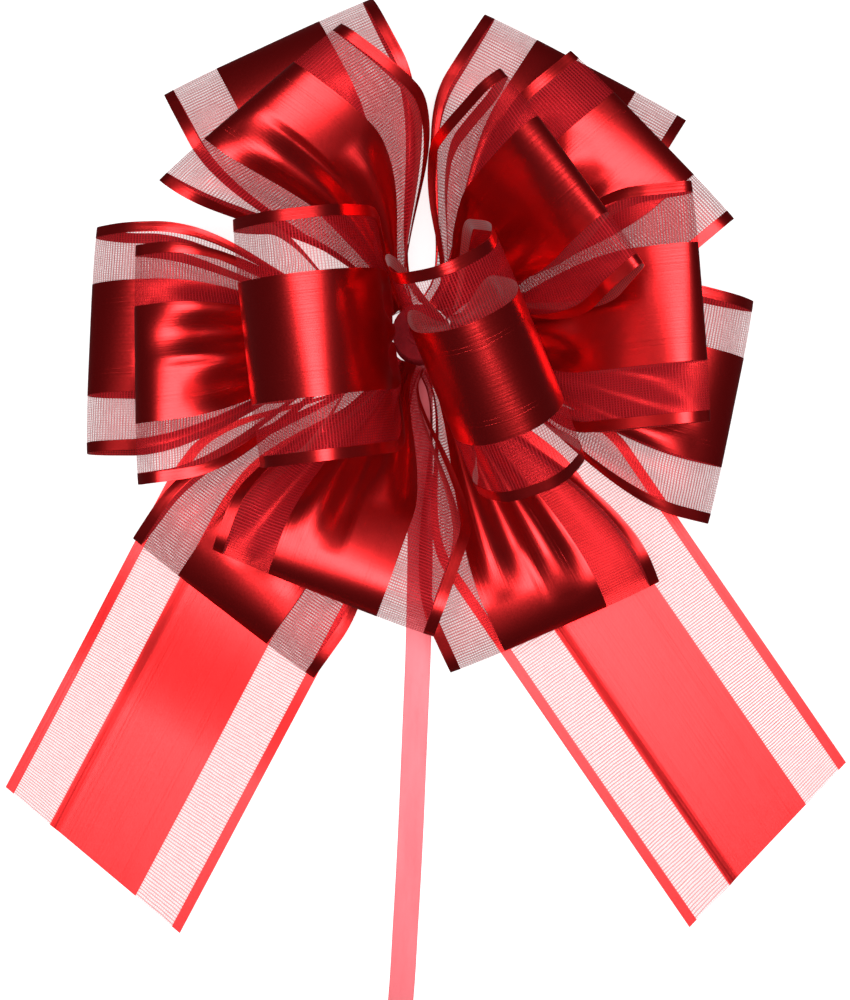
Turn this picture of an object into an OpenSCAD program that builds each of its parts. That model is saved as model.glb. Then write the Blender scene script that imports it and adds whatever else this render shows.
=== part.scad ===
// Pull-string gift bow: fourteen ribbon loops and two tails gathered on a string.
// Each loop ends in a small eyelet that turns about the stack of heat-welded tabs.
// The frame: +Z is the stack's axis, z = 0 is the back of the bow, and the tails point to -Y.

/* [Ribbon] */
// Full width of the ribbon
ribbon_w = 50; // [49:0.5:50.5]
// Thickness that the ribbon is modelled with
ribbon_t = 0.4; // [0.35:0.05:0.45]
// Width of the ribbon where it is gathered at the stack
neck_w = 7; // [6:0.5:7]

/* [Stack of tabs] */
// Radius of each welded tab
tab_r = 6; // [5.5:0.5:6.5]
// Thickness of each welded tab
tab_t = 0.5; // [0.4:0.1:0.5]
// Outer radius of the collar that the eyelets turn on
collar_r = 3; // [2.8:0.1:3.1]
// Radius of the hole that the string runs through
string_hole_r = 1.7; // [1.6:0.1:1.8]
// Thickness of each eyelet
eyelet_t = 0.9; // [0.7:0.1:0.9]
// Gap between neighbouring layers of the stack
layer_gap = 0.3; // [0.3:0.05:0.35]

/* [Tails] */
// Length of each tail from the stack's axis to the middle of its cut end
tail_len = 138; // [120:1:145]
// Slant of the cut ends
tail_slant = 12; // [0:1:20]

/* [String] */
// Width of the flat pull string
string_w = 5.7; // [4:0.1:6]
// Thickness of the flat pull string
string_t = 0.4; // [0.3:0.1:0.5]
// Radius of the gathered string inside the stack
core_r = 1.3; // [1:0.1:1.4]
// Inner radius of the wound coil of spare string
coil_in_r = 26; // [20:1:28]
// Outer radius of the wound coil of spare string
coil_out_r = 38; // [36:0.5:38]

/* [Hidden] */
LOOPS = 14;

// Columns of the loop table
AZIMUTH = 0;
ELEVATION = 1;
LENGTH = 2;
FATNESS = 3;
SHIFT = 4;
ROLL = 5;
YAW = 6;
FULL_MINUS = 7;
FULL_PLUS = 8;
BEND = 9;

// One row a loop, from the lowest on the stack to the highest: the direction that it points in and
// how steeply it rises, its length, its height at the widest place, the sideways shift of its tip,
// its turn about its own length and in its own plane, how far out each side of it, clockwise and
// counter-clockwise, has its full width, and how far its middle bends to the side.
LOOP_TABLE = [
    [348.5, 7, 64.5, 16.0, -3.0, 0, 0, 0.90, 0.84, 0],
    [177.0, 7, 66.0, 16.0, 5.0, 5, 0, 0.82, 0.85, 0],
    [115.0, 9, 65.0, 16.0, 3.5, 0, 0, 0.80, 0.82, 0],
    [294.0, 3, 64.5, 14.5, 1.0, 0, 0, 0.84, 0.92, 0],
    [232.0, 3, 67.5, 13.5, 3.0, 0, 0, 0.86, 0.84, 0],
    [62.0, -1, 63.0, 11.0, -4.5, 0, 0, 0.78, 0.74, 0],
    [44.5, 13.3, 60.0, 8.5, -5.0, 0, 0, 0.82, 0.80, 0],
    [249.0, 20.5, 56.5, 15.0, 1.0, 0, 0, 0.88, 0.64, 0],
    [180.5, 22.5, 57.0, 15.0, 7.5, 0, 0, 0.98, 0.86, 0],
    [4.0, 25, 57.5, 10.0, 1.0, 0, 0, 0.55, 0.80, 0],
    [131.0, 22, 56.0, 11.0, -4.0, 0, 0, 0.65, 0.96, -6],
    [44.0, 43.5, 51.0, 9.5, 1.5, -12, 0, 0.75, 0.58, 0],
    [186.0, 66, 51.0, 27.0, 1.5, 0, 0, 0.55, 0.55, 0],
    [16.0, 84.5, 54.0, 23.0, -1.5, 8, -16, 0.55, 0.50, 0]
];

// Where the neck ends, as a fraction of the loop's length
NECK_END = 0.06;
// Power that lets a loop widen early
WIDEN_POWER = 0.8;
// Power that keeps the loop slim near the stack and round at the tip
PINCH = 1.5;
// Largest value of the loop's profile, which its height is divided by
PROFILE_MAX = 0.7092;
LOOP_STEPS = 44;
// Radius at which a ribbon leaves the tongue of its eyelet
START_R = 6.7;
TONGUE_END_R = 7;
TONGUE_START_R = 4.5;
// Half of the distance between a loop's two layers where they leave the eyelet
LAYER_HALF = 0.25;

eyelet_in_r = collar_r + layer_gap;
pair_pitch = tab_t + 2 * eyelet_t + 3 * layer_gap;
// The lowest tab has a floor under the string, and the string leaves it above that floor
floor_t = 0.3;
string_z = floor_t + 0.1;
slot_top = string_z + string_t + layer_gap;
base_tab_t = slot_top + tab_t - 0.1;
tongue_inset = 0.12;

// The tails leave the lowest two eyelets. The left one passes over the right one.
LEFT_TAIL_AZ = 242;
RIGHT_TAIL_AZ = 304.5;
LEFT_TAIL_SHIFT = -10;
RIGHT_TAIL_SHIFT = 0;
TAIL_STEPS = 36;

// The pull string's route from inside the lowest tab to the coil, along the surface, with the share
// of string_z that each point is lifted by
STRING_ROUTE = [
    [0, -1, 1], [0, -11, 1], [0, -18, 0.5], [0, -25, 0], [0, -36, 0], [0, -48, 0], [-0.2, -60, 0],
    [-0.5, -72, 0], [-1, -84, 0], [-1.5, -96, 0], [-2, -108, 0], [-2.6, -120, 0], [-3.3, -132, 0],
    [-4, -144, 0], [-5, -156, 0], [-6, -168, 0], [-7, -180, 0], [-7.5, -190, 0], [-8, -200, 0]
];
COIL_CENTRE = [-46, -200];

function loop_name(i) = str("loop_", i < 10 ? "0" : "", i);

function ease(x) = let (c = min(1, max(0, x))) c * c * (3 - 2 * c);

// Height of the middle of the eyelet on each level, counted from the lowest
function level_z(level) =
    base_tab_t + layer_gap + eyelet_t / 2
    + floor(level / 2) * pair_pitch
    + (level % 2) * (eyelet_t + layer_gap);

// Half of the ribbon's width at a fraction of the loop's length
function half_width(fraction, full_at) =
    (neck_w + (ribbon_w - neck_w) * pow(ease((fraction - NECK_END) / (full_at - NECK_END)), WIDEN_POWER)) / 2;

// Distance along the loop and height above its middle plane, at an angle from 0 to 360 round the loop
function loop_point(row, a) = [
    row[LENGTH] * (1 - cos(a)) / 2,
    -row[FATNESS] / 2 / PROFILE_MAX * sin(a) * pow(sin(a / 2), PINCH) - LAYER_HALF * cos(a / 2)
];

function unit(v) = v / norm(v);

// The loop's three directions: along its length, across the ribbon, and square to both
function loop_axes(row) =
    let (
        az = row[AZIMUTH],
        el = row[ELEVATION],
        along0 = [cos(el) * cos(az), cos(el) * sin(az), sin(el)],
        across0 = [-sin(az), cos(az), 0],
        along = cos(row[YAW]) * along0 + sin(row[YAW]) * across0,
        across1 = cos(row[YAW]) * across0 - sin(row[YAW]) * along0,
        up = cross(along, across1)
    )
    [
        along,
        cos(row[ROLL]) * across1 + sin(row[ROLL]) * up,
        cos(row[ROLL]) * up - sin(row[ROLL]) * across1
    ];

// Four corners of the ribbon's section at one angle round the loop
function loop_ring(row, level, a) =
    let (
        axes = loop_axes(row),
        here = loop_point(row, a),
        ahead = loop_point(row, a + 0.5),
        behind = loop_point(row, a - 0.5),
        tangent = unit(ahead - behind),
        outward = tangent[0] * axes[2] - tangent[1] * axes[0],
        fraction = here[0] / row[LENGTH],
        start = [START_R * cos(row[AZIMUTH]), START_R * sin(row[AZIMUTH]), level_z(level)],
        sideways = row[SHIFT] * fraction + row[BEND] * sin(180 * fraction),
        middle = start + here[0] * axes[0] + here[1] * axes[2] + sideways * axes[1],
        minus = middle - half_width(fraction, row[FULL_MINUS]) * axes[1],
        plus = middle + half_width(fraction, row[FULL_PLUS]) * axes[1],
        skin = ribbon_t / 2 * outward
    )
    [minus - skin, plus - skin, plus + skin, minus + skin];

// A solid swept through rings of four corners each
module strip(rings) {
    last = len(rings) - 1;
    sides = [
        for (i = [0:last - 1], j = [0:3])
            let (a = 4 * i + j, b = 4 * i + (j + 1) % 4)
                each [[a, b + 4, b], [a, a + 4, b + 4]]
    ];
    ends = [[0, 1, 2], [0, 2, 3], [4 * last, 4 * last + 2, 4 * last + 1], [4 * last, 4 * last + 3, 4 * last + 2]];
    polyhedron([for (ring = rings) each ring], concat(sides, ends), convexity = 8);
}

// The melted ring that a ribbon turns on, with the tongue that the ribbon leaves it by
module eyelet(level, az) {
    translate([0, 0, level_z(level) - eyelet_t / 2])
        rotate(az)
            difference() {
                union() {
                    cylinder(h = eyelet_t, r = tab_r, $fn = 48);
                    translate([TONGUE_START_R, -neck_w / 2 + 0.15, tongue_inset])
                        cube([TONGUE_END_R - TONGUE_START_R, neck_w - 0.3, eyelet_t - 2 * tongue_inset]);
                }
                translate([0, 0, -1])
                    cylinder(h = eyelet_t + 2, r = eyelet_in_r, $fn = 48);
            }
}

module ribbon_loop(index) {
    row = LOOP_TABLE[index - 1];
    level = index + 1;
    color([0.85, 0.08, 0.12])
        union() {
            eyelet(level, row[AZIMUTH]);
            strip([for (i = [0:LOOP_STEPS]) loop_ring(row, level, 4 + i * 352 / LOOP_STEPS)]);
        }
}

// Height of a tail's middle above the surface, at a distance from the axis
function tail_z(level, low_z, near, far, r) =
    level_z(level) + (low_z - level_z(level)) * ease((r - near) / (far - near));

// Half of a tail's width at a distance from the axis
function tail_half(r) = (neck_w + (ribbon_w - neck_w) * ease((r - 6) / 40)) / 2;

function tail_ring(az, shift, slant, level, low_z, near, far, fraction) =
    let (
        along = [cos(az), sin(az)],
        across = [-sin(az), cos(az)],
        mid_r = START_R + (tail_len - START_R) * fraction,
        half = tail_half(mid_r),
        lean = tan(slant) * half * pow(fraction, 4),
        offset = shift * ease((mid_r - 6) / 50),
        right = (mid_r - lean) * along + (offset - half) * across,
        left = (mid_r + lean) * along + (offset + half) * across,
        z = tail_z(level, low_z, near, far, mid_r),
        skin = ribbon_t / 2
    )
    [
        [right[0], right[1], z - skin],
        [left[0], left[1], z - skin],
        [left[0], left[1], z + skin],
        [right[0], right[1], z + skin]
    ];

module tail(az, shift, slant, level, low_z, near, far) {
    color([0.95, 0.25, 0.28])
        union() {
            eyelet(level, az);
            strip([for (i = [0:TAIL_STEPS]) tail_ring(az, shift, slant, level, low_z, near, far, i / TAIL_STEPS)]);
        }
}

module left_tail() {
    tail(LEFT_TAIL_AZ, LEFT_TAIL_SHIFT, tail_slant, 1, string_t + 0.6, 70, 105);
}

module right_tail() {
    tail(RIGHT_TAIL_AZ, RIGHT_TAIL_SHIFT, -tail_slant, 0, string_t + 0.6, 8, 30);
}

// The lowest tab is the flat back of the bow, with a slot above its floor that the string slides in
module base_tab() {
    difference() {
        union() {
            cylinder(h = base_tab_t, r = tab_r, $fn = 64);
            cylinder(h = pair_pitch + base_tab_t - tab_t, r = collar_r, $fn = 64);
        }
        translate([-string_w / 2 - layer_gap, -tab_r - 1, floor_t])
            cube([string_w + 2 * layer_gap, 2 * tab_r + 2, slot_top - floor_t]);
        translate([0, 0, string_z])
            cylinder(h = pair_pitch + base_tab_t, r = string_hole_r, $fn = 64);
    }
}

module upper_tab(index) {
    translate([0, 0, base_tab_t - tab_t + (index - 1) * pair_pitch])
        difference() {
            union() {
                cylinder(h = tab_t, r = tab_r, $fn = 64);
                cylinder(h = pair_pitch, r = collar_r, $fn = 64);
            }
            translate([0, 0, -1])
                cylinder(h = pair_pitch + 2, r = string_hole_r, $fn = 64);
        }
}

module weld_tab(index) {
    color([0.75, 0.1, 0.15])
        if (index == 1) base_tab();
        else upper_tab(index);
}

stack_top = base_tab_t - tab_t + 8 * pair_pitch;
core_z = string_z + string_t + layer_gap;

module string_core() {
    color([1, 0.62, 0.66])
        translate([0, 0, core_z])
            cylinder(h = stack_top + layer_gap - core_z, r = core_r, $fn = 48);
}

// The knot that holds the top of the stack
module string_knot() {
    color([1, 0.62, 0.66])
        translate([0, 0, stack_top + layer_gap])
            rotate_extrude($fn = 48)
                polygon([[0, 0], [1.8, 0], [2.4, 0.8], [2.4, 1.8], [1.7, 2.8], [0, 3.2]]);
}

// Eight corners of the flat string's section at one point of its route
function run_ring(i) =
    let (
        last = len(STRING_ROUTE) - 1,
        dir = unit(STRING_ROUTE[min(last, i + 1)] - STRING_ROUTE[max(0, i - 1)]),
        across = unit([-dir[1], dir[0]]),
        p = STRING_ROUTE[i],
        z = p[2] * string_z,
        w = string_w / 2,
        edge = string_t / 4
    )
    [
        for (c = [
            [-w, edge], [-w + 0.3, 0], [w - 0.3, 0], [w, edge],
            [w, string_t - edge], [w - 0.3, string_t], [-w + 0.3, string_t], [-w, string_t - edge]
        ])
            [p[0] + c[0] * across[0], p[1] + c[0] * across[1], z + c[1]]
    ];

module string_run() {
    rings = [for (i = [0:len(STRING_ROUTE) - 1]) run_ring(i)];
    last = len(rings) - 1;
    sides = [
        for (i = [0:last - 1], j = [0:7])
            let (a = 8 * i + j, b = 8 * i + (j + 1) % 8)
                each [[a, b, b + 8], [a, b + 8, a + 8]]
    ];
    start_cap = [for (j = [1:6]) [0, j + 1, j]];
    end_cap = [for (j = [1:6]) [8 * last, 8 * last + j, 8 * last + j + 1]];
    color([1, 0.55, 0.6])
        polyhedron([for (ring = rings) each ring], concat(sides, start_cap, end_cap), convexity = 4);
}

module string_coil() {
    color([1, 0.55, 0.6])
        translate([COIL_CENTRE[0], COIL_CENTRE[1], 0])
            rotate_extrude($fn = 96)
                translate([coil_in_r, 0])
                    square([coil_out_r - coil_in_r, string_w]);
}

for (i = [1:LOOPS])
    ribbon_loop(i);
left_tail();
right_tail();
for (i = [1:8])
    weld_tab(i);
string_core();
string_knot();
string_run();
string_coil();
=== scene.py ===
"""Pull-string gift bow: foil and organza ribbon loops, two flat tails and a satin pull string.

Lengths are in metres and angles in degrees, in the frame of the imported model: +Z up out of the
back of the bow, which lies on z = 0, and -Y towards the tails.
"""

import math

import bpy
import numpy as np
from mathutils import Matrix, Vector


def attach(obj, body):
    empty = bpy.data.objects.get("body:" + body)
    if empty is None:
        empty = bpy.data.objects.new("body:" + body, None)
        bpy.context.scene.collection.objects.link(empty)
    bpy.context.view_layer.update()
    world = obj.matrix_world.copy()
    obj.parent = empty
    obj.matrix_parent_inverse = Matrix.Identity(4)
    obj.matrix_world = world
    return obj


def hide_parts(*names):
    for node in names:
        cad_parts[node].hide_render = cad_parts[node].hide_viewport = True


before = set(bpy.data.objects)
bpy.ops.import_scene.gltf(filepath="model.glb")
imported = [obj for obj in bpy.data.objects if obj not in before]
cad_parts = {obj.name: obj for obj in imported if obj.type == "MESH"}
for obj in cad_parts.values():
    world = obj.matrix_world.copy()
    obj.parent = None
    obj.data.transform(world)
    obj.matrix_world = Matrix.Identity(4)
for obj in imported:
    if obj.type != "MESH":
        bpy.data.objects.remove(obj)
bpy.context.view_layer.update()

MM = 0.001

# The ribbon, from its edge to its middle: an edge stripe of foil, a band of organza, the foil
RIBBON_W = 50 * MM
EDGE_STRIPE_W = 2.3 * MM
CENTRE_FOIL_W = 24.5 * MM
FOIL_T = 0.12 * MM
NECK_W = 7 * MM
# Width of the faces along a strip's edges, which take up the rounding of its shading
RIM = 0.04 * MM

# How the loops are built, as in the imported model
START_R = 6.7 * MM
LAYER_HALF = 0.25 * MM
PINCH = 1.5
PROFILE_MAX = 0.7092
NECK_END = 0.06
WIDEN_POWER = 0.8
LOOP_ENDS_DEG = (4, 356)
LOOP_ROWS = 141

# The small pleats, waves and drooping edges that only the looks have
PLEATS = 4
PLEAT_MAX = 1.1 * MM
PLEATS_BEGIN = 0.12
SWAY = 0.25 * MM
SWAY_WAVES = 9
SWAY_BEGINS = 0.4
EDGE_DROOP = 0.5 * MM
BASE_TAB_T = 1.5 * MM
TAB_T = 0.5 * MM
EYELET_T = 0.9 * MM
LAYER_GAP = 0.3 * MM
PAIR_PITCH = TAB_T + 2 * EYELET_T + 3 * LAYER_GAP

# The pull string and the coil of its spare length
STRING_W = 5.7 * MM
STRING_T = 0.2 * MM
COIL_CENTRE = (-46 * MM, -200 * MM)
COIL_IN_R = 27 * MM
COIL_OUT_R = 37.5 * MM
COIL_TURNS = 4.6
COIL_STEPS_A_TURN = 48
STRING_CLEARANCE = 0.05 * MM
# Where the string starts to turn on edge for the coil, and the length that it takes
TURN_AT = 165 * MM
TURN_LENGTH = 30 * MM

# The two tails: name, azimuth, sideways shift, slant of the cut end, level on the stack, and the
# distances from the middle where it starts to come down and has come down
TAIL_LEN = 138 * MM
TAIL_SLANT = 12
TAIL_LOW_Z = 1.0 * MM
TAIL_ROWS = 90
TAILS = [
    ("left_tail", 242, -10 * MM, TAIL_SLANT, 1, 70 * MM, 105 * MM),
    ("right_tail", 304.5, 0.0, -TAIL_SLANT, 0, 8 * MM, 30 * MM),
]
TAIL_WIDENS_AT = 6 * MM
TAIL_WIDENS_IN = 40 * MM
TAIL_SHIFTS_IN = 50 * MM
TAIL_PLEATS = 3
TAIL_PLEAT = 0.4 * MM
TAIL_FOLD = 0.55 * MM

CAMERA_AT = (1.1 * MM, -36.2 * MM, 550 * MM)
CAMERA_LENS_MM = 87.9
SENSOR_MM = 36

# The floor lies just under the back of the bow
FLOOR_HALF = 12.0
FLOOR_Z = -0.2 * MM
SOFTBOX_AT = (0.0, -0.05, 0.95)
SOFTBOX_SIZE = (0.46, 0.40)
SOFTBOX_POWER = 6.0
LIGHT_AIM = (0, 0, 0.03)

# One row a loop, from the lowest on the stack to the highest: azimuth, elevation, length in mm,
# height at the widest place in mm, sideways shift of the tip in mm, roll, yaw, how far out each
# side of the loop, clockwise and counter-clockwise, has its full width, and the bend in mm.
LOOP_TABLE = [
    (348.5, 7, 64.5, 16.0, -3.0, 0, 0, 0.90, 0.84, 0),
    (177.0, 7, 66.0, 16.0, 5.0, 5, 0, 0.82, 0.85, 0),
    (115.0, 9, 65.0, 16.0, 3.5, 0, 0, 0.80, 0.82, 0),
    (294.0, 3, 64.5, 14.5, 1.0, 0, 0, 0.84, 0.92, 0),
    (232.0, 3, 67.5, 13.5, 3.0, 0, 0, 0.86, 0.84, 0),
    (62.0, -1, 63.0, 11.0, -4.5, 0, 0, 0.78, 0.74, 0),
    (44.5, 13.3, 60.0, 8.5, -5.0, 0, 0, 0.82, 0.80, 0),
    (249.0, 20.5, 56.5, 15.0, 1.0, 0, 0, 0.88, 0.64, 0),
    (180.5, 22.5, 57.0, 15.0, 7.5, 0, 0, 0.98, 0.86, 0),
    (4.0, 25, 57.5, 10.0, 1.0, 0, 0, 0.55, 0.80, 0),
    (131.0, 22, 56.0, 11.0, -4.0, 0, 0, 0.65, 0.96, -6),
    (44.0, 43.5, 51.0, 9.5, 1.5, -12, 0, 0.75, 0.58, 0),
    (186.0, 66, 51.0, 27.0, 1.5, 0, 0, 0.55, 0.55, 0),
    (16.0, 84.5, 54.0, 23.0, -1.5, 8, -16, 0.55, 0.50, 0),
]

# The string's route from inside the lowest tab to the coil, with its lift off the surface, in mm
STRING_ROUTE_MM = [
    (0, -1, 0.4), (0, -11, 0.4), (0, -18, 0.2), (0, -25, 0), (0, -36, 0), (0, -48, 0),
    (-0.2, -60, 0), (-0.5, -72, 0), (-1, -84, 0), (-1.5, -96, 0), (-2, -108, 0), (-2.6, -120, 0),
    (-3.3, -132, 0), (-4, -144, 0), (-5, -156, 0), (-6, -168, 0), (-7, -180, 0), (-7.5, -190, 0),
    (-8, -200, 0),
]


def ease(x):
    """Smooth step from 0 to 1."""
    x = np.clip(x, 0, 1)
    return x * x * (3 - 2 * x)


def unit(v):
    return v / np.linalg.norm(v, axis=-1, keepdims=True)


# ---------------------------------------------------------------- materials


def new_material(name):
    material = bpy.data.materials.new(name)
    material.use_nodes = True
    nodes = material.node_tree.nodes
    nodes.clear()
    output = nodes.new("ShaderNodeOutputMaterial")
    shader = nodes.new("ShaderNodeBsdfPrincipled")
    material.node_tree.links.new(shader.outputs[0], output.inputs[0])
    return material, material.node_tree, shader


def node(tree, kind, inputs=None, **settings):
    """A new node with its settings and its inputs, each a value or another node's output."""
    made = tree.nodes.new(kind)
    for key, value in settings.items():
        setattr(made, key, value)
    for key, value in (inputs or {}).items():
        if isinstance(value, bpy.types.NodeSocket):
            tree.links.new(value, made.inputs[key])
        else:
            made.inputs[key].default_value = value
    return made


def math_node(tree, operation, a, b=0.0, clamp=False):
    made = node(tree, "ShaderNodeMath", {0: a, 1: b}, operation=operation, use_clamp=clamp)
    return made.outputs[0]


def ribbon_coordinates(tree):
    """Distance across and along the ribbon in millimetres, from the ribbon's own UV map."""
    uv = node(tree, "ShaderNodeUVMap", uv_map="ribbon")
    split = node(tree, "ShaderNodeSeparateXYZ", {0: uv.outputs[0]})
    across = math_node(tree, "MULTIPLY", split.outputs[0], 1000.0)
    along = math_node(tree, "MULTIPLY", split.outputs[1], 1000.0)
    return across, along


def threads(tree, coordinate, pitch, share, softness=0.25):
    """1 on a thread and 0 between threads, with soft edges."""
    phase = math_node(tree, "FRACT", math_node(tree, "DIVIDE", coordinate, pitch))
    centred = math_node(tree, "ABSOLUTE", math_node(tree, "SUBTRACT", phase, 0.5))
    edge = math_node(tree, "SUBTRACT", 0.5 * share + softness / 2, centred)
    return math_node(tree, "DIVIDE", edge, softness, clamp=True)


def scaled_noise(tree, across, along, scale_across, scale_along, detail=3.0):
    x = math_node(tree, "MULTIPLY", across, scale_across)
    y = math_node(tree, "MULTIPLY", along, scale_along)
    vector = node(tree, "ShaderNodeCombineXYZ", {0: x, 1: y}).outputs[0]
    inputs = {"Vector": vector, "Scale": 1.0, "Detail": detail}
    return node(tree, "ShaderNodeTexNoise", inputs).outputs[0]


def two_tone(tree, shader, factor, dark, light):
    """Base colour between two colours."""
    inputs = {"Factor": factor, 6: (*dark, 1), 7: (*light, 1)}
    colour = node(tree, "ShaderNodeMix", inputs, data_type="RGBA")
    tree.links.new(colour.outputs[2], shader.inputs["Base Color"])


def add_bump(tree, shader, height, strength, distance):
    inputs = {"Strength": strength, "Distance": distance, "Height": height}
    tree.links.new(node(tree, "ShaderNodeBump", inputs).outputs[0], shader.inputs["Normal"])


def pressed_line(tree, side, at, half_width):
    """1 on a line along the ribbon, on both sides of its middle."""
    away = math_node(tree, "ABSOLUTE", math_node(tree, "SUBTRACT", side, at))
    return math_node(tree, "LESS_THAN", away, half_width)


def foil_material():
    material, tree, shader = new_material("foil")
    across, along = ribbon_coordinates(tree)
    grain = scaled_noise(tree, across, along, 9.0, 1.6)
    streak = scaled_noise(tree, across, along, 2.2, 0.03)
    crinkle = scaled_noise(tree, across, along, 0.12, 0.05)
    # Two fine lines are pressed along the foil a few millimetres inside each of its edges
    side = math_node(tree, "ABSOLUTE", across)
    outer_line = pressed_line(tree, side, 8.2, 0.13)
    inner_line = pressed_line(tree, side, 7.3, 0.1)
    lines = math_node(tree, "ADD", outer_line, inner_line, clamp=True)
    streaks = math_node(tree, "MULTIPLY", streak, 0.5)
    crinkles = math_node(tree, "MULTIPLY", crinkle, 0.8)
    soft = math_node(tree, "ADD", streaks, crinkles)
    raised = math_node(tree, "ADD", math_node(tree, "MULTIPLY", grain, 0.16), soft)
    height = math_node(tree, "SUBTRACT", raised, math_node(tree, "MULTIPLY", lines, 0.3))
    add_bump(tree, shader, height, 0.35, 0.2 * MM)
    two_tone(tree, shader, grain, (0.74, 0.020, 0.022), (0.90, 0.034, 0.036))
    rough = math_node(tree, "ADD", 0.25, math_node(tree, "MULTIPLY", grain, 0.14))
    tree.links.new(rough, shader.inputs["Roughness"])
    shader.inputs["Metallic"].default_value = 0.97
    return material


def foil_back_material():
    """The woven back of the foil, which the inside of each loop shows."""
    material, tree, shader = new_material("foil_back")
    across, along = ribbon_coordinates(tree)
    weft = threads(tree, along, 0.6, 0.5)
    warp = threads(tree, across, 0.45, 0.5)
    weave = math_node(tree, "MULTIPLY", math_node(tree, "ADD", weft, warp), 0.5)
    two_tone(tree, shader, weave, (0.30, 0.003, 0.006), (0.80, 0.018, 0.020))
    add_bump(tree, shader, weave, 0.4, 0.1 * MM)
    shader.inputs["Metallic"].default_value = 0.35
    shader.inputs["Roughness"].default_value = 0.5
    shader.inputs["Sheen Weight"].default_value = 0.3
    return material


def organza_material():
    """Sheer organza: fine shiny threads with open gaps between them."""
    material, tree, shader = new_material("organza")
    across, along = ribbon_coordinates(tree)
    wander = scaled_noise(tree, across, along, 0.25, 0.25)
    along_bent = math_node(tree, "ADD", along, math_node(tree, "MULTIPLY", wander, 0.5))
    across_bent = math_node(tree, "ADD", across, math_node(tree, "MULTIPLY", wander, 0.4))
    weft = threads(tree, along_bent, 0.66, 0.40)
    warp = threads(tree, across_bent, 0.52, 0.24)
    cloud = scaled_noise(tree, across, along, 0.5, 0.9)
    glint = scaled_noise(tree, across, along, 0.7, 4.5)
    both = math_node(tree, "MAXIMUM", weft, math_node(tree, "MULTIPLY", warp, 0.8))
    haze = math_node(tree, "ADD", 0.05, math_node(tree, "MULTIPLY", cloud, 0.14))
    cover = math_node(tree, "ADD", math_node(tree, "MULTIPLY", both, 0.52), haze, clamp=True)
    tree.links.new(cover, shader.inputs["Alpha"])
    two_tone(tree, shader, both, (0.62, 0.022, 0.034), (0.86, 0.030, 0.044))
    bright = math_node(tree, "SUBTRACT", glint, 0.56)
    sparkle = math_node(tree, "MULTIPLY", bright, 5.0, clamp=True)
    rough = math_node(tree, "SUBTRACT", 0.62, math_node(tree, "MULTIPLY", sparkle, 0.34))
    tree.links.new(rough, shader.inputs["Roughness"])
    shader.inputs["Metallic"].default_value = 0.5
    shader.inputs["Specular IOR Level"].default_value = 0.15
    shader.inputs["Specular Tint"].default_value = (1, 0.3, 0.3, 1)
    return material


def satin_material():
    material, tree, shader = new_material("string_satin")
    across, along = ribbon_coordinates(tree)
    grain = scaled_noise(tree, across, along, 7.0, 0.35)
    cloud = scaled_noise(tree, across, along, 0.3, 0.05)
    two_tone(tree, shader, cloud, (0.88, 0.13, 0.155), (0.95, 0.23, 0.26))
    add_bump(tree, shader, grain, 0.25, 0.1 * MM)
    shader.inputs["Roughness"].default_value = 0.42
    shader.inputs["Metallic"].default_value = 0.35
    shader.inputs["Specular IOR Level"].default_value = 0.25
    return material


def weld_and_shade_material():
    """Melted ribbon for the tabs of the stack, and painted shade on the gathered string inside it,
    which takes the same dark red.
    """
    material, tree, shader = new_material("weld")
    place = node(tree, "ShaderNodeTexCoord").outputs["Object"]
    inputs = {"Vector": place, "Scale": 900.0, "Detail": 3.0}
    lumps = node(tree, "ShaderNodeTexNoise", inputs).outputs[0]
    # Dark red of melted ribbon; on the string core and knot the same dark red is painted shade from
    # inside the bow.
    two_tone(tree, shader, lumps, (0.30, 0.004, 0.012), (0.60, 0.016, 0.030))
    add_bump(tree, shader, lumps, 0.5, 0.3 * MM)
    shader.inputs["Roughness"].default_value = 0.55
    shader.inputs["Specular IOR Level"].default_value = 0.1
    return material


# ---------------------------------------------------------------- camera and string


def make_camera():
    camera = bpy.data.cameras.new("camera")
    camera.lens = CAMERA_LENS_MM
    camera.sensor_width = SENSOR_MM
    camera.clip_start = 10 * MM
    holder = bpy.data.objects.new("camera", camera)
    holder.location = CAMERA_AT
    bpy.context.collection.objects.link(holder)
    bpy.context.scene.camera = holder


def mesh_object(name, points, faces, uvs=None, materials=(), face_materials=None, smooth=True):
    """A mesh, whose UV map, if any, holds the ribbon's own coordinates in metres."""
    mesh = bpy.data.meshes.new(name)
    mesh.from_pydata([tuple(p) for p in points], [], [tuple(f) for f in faces])
    for material in materials:
        mesh.materials.append(material)
    if face_materials is not None:
        mesh.polygons.foreach_set("material_index", face_materials)
    if uvs is not None:
        layer = mesh.uv_layers.new(name="ribbon")
        loop_verts = np.empty(len(mesh.loops), dtype=np.int32)
        mesh.loops.foreach_get("vertex_index", loop_verts)
        layer.data.foreach_set("uv", np.asarray(uvs, dtype=np.float32)[loop_verts].ravel())
    mesh.polygons.foreach_set("use_smooth", [smooth] * len(mesh.polygons))
    mesh.update()
    made = bpy.data.objects.new(name, mesh)
    bpy.context.collection.objects.link(made)
    return made


def distance_along(line):
    """Distance travelled along a line of points, at each of them."""
    steps = np.linalg.norm(np.diff(line, axis=0), axis=1)
    return np.concatenate([[0], np.cumsum(steps)])


def smooth_route(points, per_span):
    """A Catmull-Rom curve through the points."""
    points = np.asarray(points, dtype=float)
    padded = np.vstack([2 * points[0] - points[1], points, 2 * points[-1] - points[-2]])
    curve = []
    for i in range(len(points) - 1):
        p0, p1, p2, p3 = padded[i : i + 4]
        for t in np.linspace(0, 1, per_span, endpoint=False):
            curve.append(
                0.5
                * (
                    2 * p1
                    + (p2 - p0) * t
                    + (2 * p0 - 5 * p1 + 4 * p2 - p3) * t**2
                    + (3 * p1 - p0 - 3 * p2 + p3) * t**3
                )
            )
    curve.append(points[-1])
    return np.array(curve)


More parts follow.
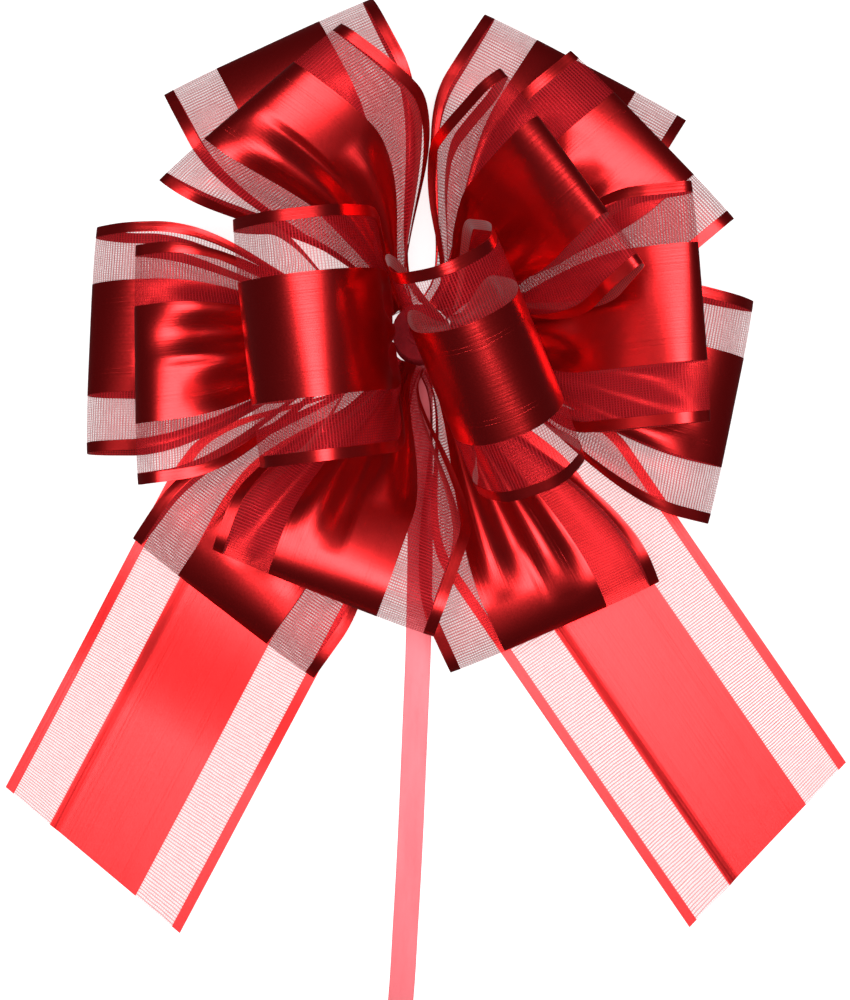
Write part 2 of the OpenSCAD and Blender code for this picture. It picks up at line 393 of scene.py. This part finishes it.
def string_centreline():
    """The string's middle line, and how far each point is turned from flat to on edge."""
    run = smooth_route(np.array(STRING_ROUTE_MM) * MM, 6)
    steps = int(COIL_TURNS * COIL_STEPS_A_TURN)
    angles = np.linspace(0, -2 * math.pi * COIL_TURNS, steps)
    radii = np.linspace(COIL_OUT_R, COIL_IN_R, steps)
    x = COIL_CENTRE[0] + radii * np.cos(angles)
    y = COIL_CENTRE[1] + radii * np.sin(angles)
    coil = np.stack([x, y, 0 * angles], axis=1)
    line = np.vstack([run, coil[1:]])
    travelled = distance_along(line)
    turn = ease((travelled - TURN_AT) / TURN_LENGTH) * math.pi / 2
    line[:, 2] += STRING_T / 2 + np.sin(turn) * (STRING_W - STRING_T) / 2 + STRING_CLEARANCE
    return line, turn, travelled


def make_string(satin):
    line, turn, travelled = string_centreline()
    tangent = unit(np.gradient(line, axis=0))
    level = unit(np.cross(tangent, [0, 0, 1]))
    up = np.cross(level, tangent)
    wide = np.cos(turn)[:, None] * level + np.sin(turn)[:, None] * up
    thin = np.cross(tangent, wide)
    across = (-1, -0.97, 0, 0.97, 1)
    corners = [(w, -1) for w in across] + [(w, 1) for w in reversed(across)]
    points = []
    uvs = []
    for i in range(len(line)):
        for w, t in corners:
            points.append(line[i] + wide[i] * w * STRING_W / 2 + thin[i] * t * STRING_T / 2)
            uvs.append((w * STRING_W / 2, travelled[i]))
    n = len(corners)
    # Each side of each step, and the two ends
    faces = [
        (n * i + j, n * i + (j + 1) % n, n * (i + 1) + (j + 1) % n, n * (i + 1) + j)
        for i in range(len(line) - 1)
        for j in range(n)
    ]
    faces.append(tuple(range(n - 1, -1, -1)))
    faces.append(tuple(range(n * (len(line) - 1), n * len(line))))
    string = mesh_object("pull_string_ribbon", points, faces, uvs, [satin])
    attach(string, "pull_string")
    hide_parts("string_run", "string_coil")


def make_coil_tie(satin):
    """A band of the string's satin that holds the turns of the coil together."""
    half_w, thick, gap = 2 * MM, 0.15 * MM, 0.4 * MM
    points = []
    for side in (-half_w, half_w):
        for inset in (0.0, thick):
            low, high = COIL_IN_R - gap + inset, COIL_OUT_R + gap - inset
            floor, top = inset / 3, STRING_W + gap - inset
            for r, z in ((low, floor), (high, floor), (high, top), (low, top)):
                points.append((COIL_CENTRE[0] + side, COIL_CENTRE[1] + r, z))
    faces = []
    for j in range(4):
        k = (j + 1) % 4
        faces += [(j, k, 8 + k, 8 + j), (4 + k, 4 + j, 12 + j, 12 + k)]
        faces += [(k, j, 4 + j, 4 + k), (8 + j, 8 + k, 12 + k, 12 + j)]
    uvs = [(p[0] - COIL_CENTRE[0], p[1]) for p in points]
    tie = mesh_object("coil_tie", points, faces, uvs, [satin], smooth=False)
    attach(tie, "pull_string")


# ---------------------------------------------------------------- ribbons


def level_z(level):
    """Height of the middle of the eyelet on each level of the stack."""
    return (
        BASE_TAB_T
        + LAYER_GAP
        + EYELET_T / 2
        + (level // 2) * PAIR_PITCH
        + (level % 2) * (EYELET_T + LAYER_GAP)
    )


class LoopShape:
    """The surface of one ribbon loop."""

    def __init__(self, index):
        az, el, length, fat, shift, roll, yaw, full_minus, full_plus, bend = LOOP_TABLE[index]
        self.length = length * MM
        self.fat = fat * MM
        self.shift = shift * MM
        self.bend = bend * MM
        self.full_at = (full_minus, full_plus)
        self.phase = index * 1.7
        az, el, roll, yaw = (math.radians(v) for v in (az, el, roll, yaw))
        along0 = np.array([math.cos(el) * math.cos(az), math.cos(el) * math.sin(az), math.sin(el)])
        across0 = np.array([-math.sin(az), math.cos(az), 0])
        self.along = math.cos(yaw) * along0 + math.sin(yaw) * across0
        across1 = math.cos(yaw) * across0 - math.sin(yaw) * along0
        up = np.cross(self.along, across1)
        self.across = math.cos(roll) * across1 + math.sin(roll) * up
        self.up = math.cos(roll) * up - math.sin(roll) * across1
        self.start = np.array([START_R * math.cos(az), START_R * math.sin(az), level_z(index + 2)])

    def plane(self, angle):
        """Distance along the loop and height above its middle plane, at an angle round it."""
        a = np.radians(angle)
        s = self.length * (1 - np.cos(a)) / 2
        bulge = self.fat / 2 / PROFILE_MAX * np.sin(a) * np.abs(np.sin(a / 2)) ** PINCH
        return s, -bulge - LAYER_HALF * np.cos(a / 2)

    def outward(self, angle):
        """The way that the ribbon's foil side faces."""
        s0, h0 = self.plane(angle - 0.5)
        s1, h1 = self.plane(angle + 0.5)
        tangent = unit(np.stack([s1 - s0, h1 - h0], axis=-1))
        return tangent[:, 1:2] * self.along - tangent[:, 0:1] * self.up

    def surface(self, angle, across, lift=0.0):
        """Points on the ribbon at the angles, for distances across the flat ribbon."""
        s, h = self.plane(angle)
        fraction = s / self.length
        x = np.asarray(across)
        full_at = np.where(x < 0, self.full_at[0], self.full_at[1])
        gather = ease((fraction[:, None] - NECK_END) / (full_at[None, :] - NECK_END)) ** WIDEN_POWER
        ratio = (NECK_W + (RIBBON_W - NECK_W) * gather) / RIBBON_W
        # The pleats take up the width that the gathering leaves over, as far as there is room
        k = 2 * math.pi * PLEATS / RIBBON_W
        amplitude = np.minimum(2 / k * np.sqrt(np.maximum(1 / ratio - 1, 0)), PLEAT_MAX)
        amplitude = amplitude * ease(fraction / PLEATS_BEGIN)[:, None]
        waves = np.sin(SWAY_WAVES * np.radians(angle) + self.phase)
        sway = SWAY * waves * ease(fraction / SWAY_BEGINS)
        middle = self.start + s[:, None] * self.along + h[:, None] * self.up
        sideways = self.shift * fraction + self.bend * np.sin(math.pi * fraction)
        middle = middle + sideways[:, None] * self.across
        out = self.outward(angle)
        wave = np.sin(k * x + self.phase)
        share = x / (RIBBON_W / 2)
        edge = np.abs(share) ** 4
        raised = amplitude * wave[None, :] + sway[:, None] * share[None, :] + lift
        raised = raised - EDGE_DROOP * edge[None, :] * gather
        return (
            middle[:, None, :]
            + (x[None, :] * ratio)[:, :, None] * self.across
            + raised[:, :, None] * out[:, None, :]
        )


def grid_faces(rows, columns, first=0, flip=False):
    faces = []
    for i in range(rows - 1):
        for j in range(columns - 1):
            a = first + i * columns + j
            quad = (a, a + 1, a + columns + 1, a + columns)
            faces.append(quad[::-1] if flip else quad)
    return faces


def band_edges():
    """Low edge, high edge and number of columns of each strip, across the ribbon."""
    half = RIBBON_W / 2
    stripe = half - EDGE_STRIPE_W
    foil = CENTRE_FOIL_W / 2
    return {
        "foil": [(-half, -stripe, 5), (-foil, foil, 27), (stripe, half, 5)],
        "organza": [(-stripe, -foil, 11), (foil, stripe, 11)],
    }


def ribbon_uvs(across, travelled):
    grid = np.broadcast_arrays(across[None, :], travelled[:, None])
    return np.stack(grid, axis=-1).reshape(-1, 2)


def closed_strip(surface_point, angles, travelled, low, high, columns, first):
    """Points, faces, UVs and face materials of one thin strip with a front, a back and edges."""
    across = np.linspace(low + RIM, high - RIM, columns - 2)
    across = np.concatenate([[low], across, [high]])
    front = surface_point(angles, across, FOIL_T / 2)
    back = surface_point(angles, across, -FOIL_T / 2)
    rows = len(angles)
    size = rows * columns
    uv = ribbon_uvs(across, travelled)
    points = np.vstack([front.reshape(-1, 3), back.reshape(-1, 3)])
    faces = grid_faces(rows, columns, first)
    marks = [0] * len(faces)
    behind = grid_faces(rows, columns, first + size, flip=True)
    faces += behind
    marks += [1] * len(behind)
    rim = [i * columns for i in range(rows)]
    far = [i * columns + columns - 1 for i in range(rows)]
    top = list(range(columns))
    end = [(rows - 1) * columns + j for j in range(columns)]
    loop = top + far[1:] + end[::-1][1:] + rim[::-1][1:-1]
    for a, b in zip(loop, loop[1:] + loop[:1]):
        faces.append((first + b, first + a, first + a + size, first + b + size))
        marks.append(0)
    return points, faces, np.vstack([uv, uv]), marks


def make_ribbon(name, surface_point, angles, body, materials):
    """The foil strips and the organza bands of one ribbon, as two pieces on the same body."""
    travelled = distance_along(surface_point(angles, np.array([0.0]), 0.0)[:, 0, :])
    bands = band_edges()
    points, faces, uvs, marks = [], [], [], []
    for low, high, columns in bands["foil"]:
        first = sum(map(len, points))
        p, f, u, m = closed_strip(surface_point, angles, travelled, low, high, columns, first)
        points.append(p)
        faces += f
        uvs.append(u)
        marks += m
    front_and_back = [materials["foil"], materials["foil_back"]]
    foil = mesh_object(
        f"{name}_foil", np.vstack(points), faces, np.vstack(uvs), front_and_back, marks
    )
    points, faces, uvs = [], [], []
    for low, high, columns in bands["organza"]:
        across = np.linspace(low, high, columns)
        grid = surface_point(angles, across, 0.0)
        faces += grid_faces(len(angles), columns, sum(map(len, points)))
        points.append(grid.reshape(-1, 3))
        uvs.append(ribbon_uvs(across, travelled))
    organza = mesh_object(
        f"{name}_organza", np.vstack(points), faces, np.vstack(uvs), [materials["organza"]]
    )
    foil_w = CENTRE_FOIL_W + 2 * EDGE_STRIPE_W
    for piece, width in ((foil, foil_w), (organza, RIBBON_W - foil_w)):
        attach(piece, body)
    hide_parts(body)


def make_loops(materials):
    angles = np.linspace(*LOOP_ENDS_DEG, LOOP_ROWS)
    for index in range(len(LOOP_TABLE)):
        name = f"loop_{index + 1:02d}"
        make_ribbon(name, LoopShape(index).surface, angles, name, materials)


def tail_surface(azimuth, shift, slant, level, near, far):
    """The surface of one tail, which comes down from its level to lie on the floor."""
    az = math.radians(azimuth)
    out = np.array([math.cos(az), math.sin(az), 0])
    side = np.array([-math.sin(az), math.cos(az), 0])
    tilt = math.tan(math.radians(slant))

    def surface(fraction, across, lift=0.0):
        mid_r = START_R + (TAIL_LEN - START_R) * fraction
        gather = ease((mid_r - TAIL_WIDENS_AT) / TAIL_WIDENS_IN)
        ratio = (NECK_W + (RIBBON_W - NECK_W) * gather) / RIBBON_W
        x = np.asarray(across)
        r = mid_r[:, None] + tilt * x[None, :] * (fraction**4)[:, None]
        shifted = shift * ease((mid_r - TAIL_WIDENS_AT) / TAIL_SHIFTS_IN)
        offset = shifted[:, None] + x[None, :] * ratio[:, None]
        z = level_z(level) + (TAIL_LOW_Z - level_z(level)) * ease((mid_r - near) / (far - near))
        pleats = np.sin(2 * math.pi * TAIL_PLEATS * x / RIBBON_W)
        height = z[:, None] + TAIL_PLEAT * pleats[None, :] * (1 - gather)[:, None]
        # The foil's edge stands up a little along one side, and the organza comes down from it
        rise = ease((-x - 9.4 * MM) / (2.9 * MM)) * ease((x + 20 * MM) / (7.7 * MM))
        height = height + TAIL_FOLD * rise[None, :] * ease((fraction - 0.3) / 0.2)[:, None] + lift
        up = np.array([0, 0, 1])
        return r[:, :, None] * out + offset[:, :, None] * side + height[:, :, None] * up

    return surface


def make_tails(materials):
    fractions = np.append(np.linspace(0, 1 - RIM / TAIL_LEN, TAIL_ROWS), 1.0)
    for name, azimuth, shift, slant, level, near, far in TAILS:
        surface = tail_surface(azimuth, shift, slant, level, near, far)
        make_ribbon(name, surface, fractions, name, materials)


# ---------------------------------------------------------------- stage


def make_stage():
    material, _, shader = new_material("floor")
    shader.inputs["Base Color"].default_value = (0.9, 0.9, 0.9, 1)
    shader.inputs["Roughness"].default_value = 0.9
    shader.inputs["Emission Color"].default_value = (1, 1, 1, 1)
    shader.inputs["Emission Strength"].default_value = 0.75
    signs = ((-1, -1), (1, -1), (1, 1), (-1, 1))
    corners = [(x * FLOOR_HALF, y * FLOOR_HALF, FLOOR_Z) for x, y in signs]
    floor = mesh_object("floor", corners, [(0, 1, 2, 3)], materials=[material])
    floor.visible_glossy = False


def make_lights():
    light = bpy.data.lights.new("softbox", "AREA")
    light.shape = "RECTANGLE"
    light.size, light.size_y = SOFTBOX_SIZE
    light.energy = SOFTBOX_POWER
    holder = bpy.data.objects.new("softbox", light)
    holder.location = SOFTBOX_AT
    aim = Vector(LIGHT_AIM) - Vector(SOFTBOX_AT)
    holder.rotation_euler = aim.to_track_quat("-Z", "Y").to_euler()
    bpy.context.collection.objects.link(holder)
    world = bpy.data.worlds.new("studio")
    world.use_nodes = True
    background = world.node_tree.nodes["Background"]
    background.inputs[0].default_value = (0.9, 0.9, 0.95, 1)
    background.inputs[1].default_value = 0.06
    bpy.context.scene.world = world
    bpy.context.scene.view_settings.view_transform = "Standard"


def finish_cad_pieces(weld):
    """Materials for the CAD nodes that stay in view."""
    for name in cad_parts:
        piece = bpy.data.objects.get(name)
        if piece is None or piece.type != "MESH":
            continue
        # The string core and knot take the dark weld red as painted shade, since inside the bow
        # they lie in shade.
        if not name.startswith(("weld_tab", "string_core", "string_knot")):
            continue
        if not piece.material_slots:
            piece.data.materials.append(weld)
        for slot in piece.material_slots:
            slot.material = weld


make_camera()
MATERIALS = {
    "foil": foil_material(),
    "foil_back": foil_back_material(),
    "organza": organza_material(),
    "satin": satin_material(),
    "weld": weld_and_shade_material(),
}
make_string(MATERIALS["satin"])
make_coil_tie(MATERIALS["satin"])
make_loops(MATERIALS)
make_tails(MATERIALS)
finish_cad_pieces(MATERIALS["weld"])
make_stage()
make_lights()
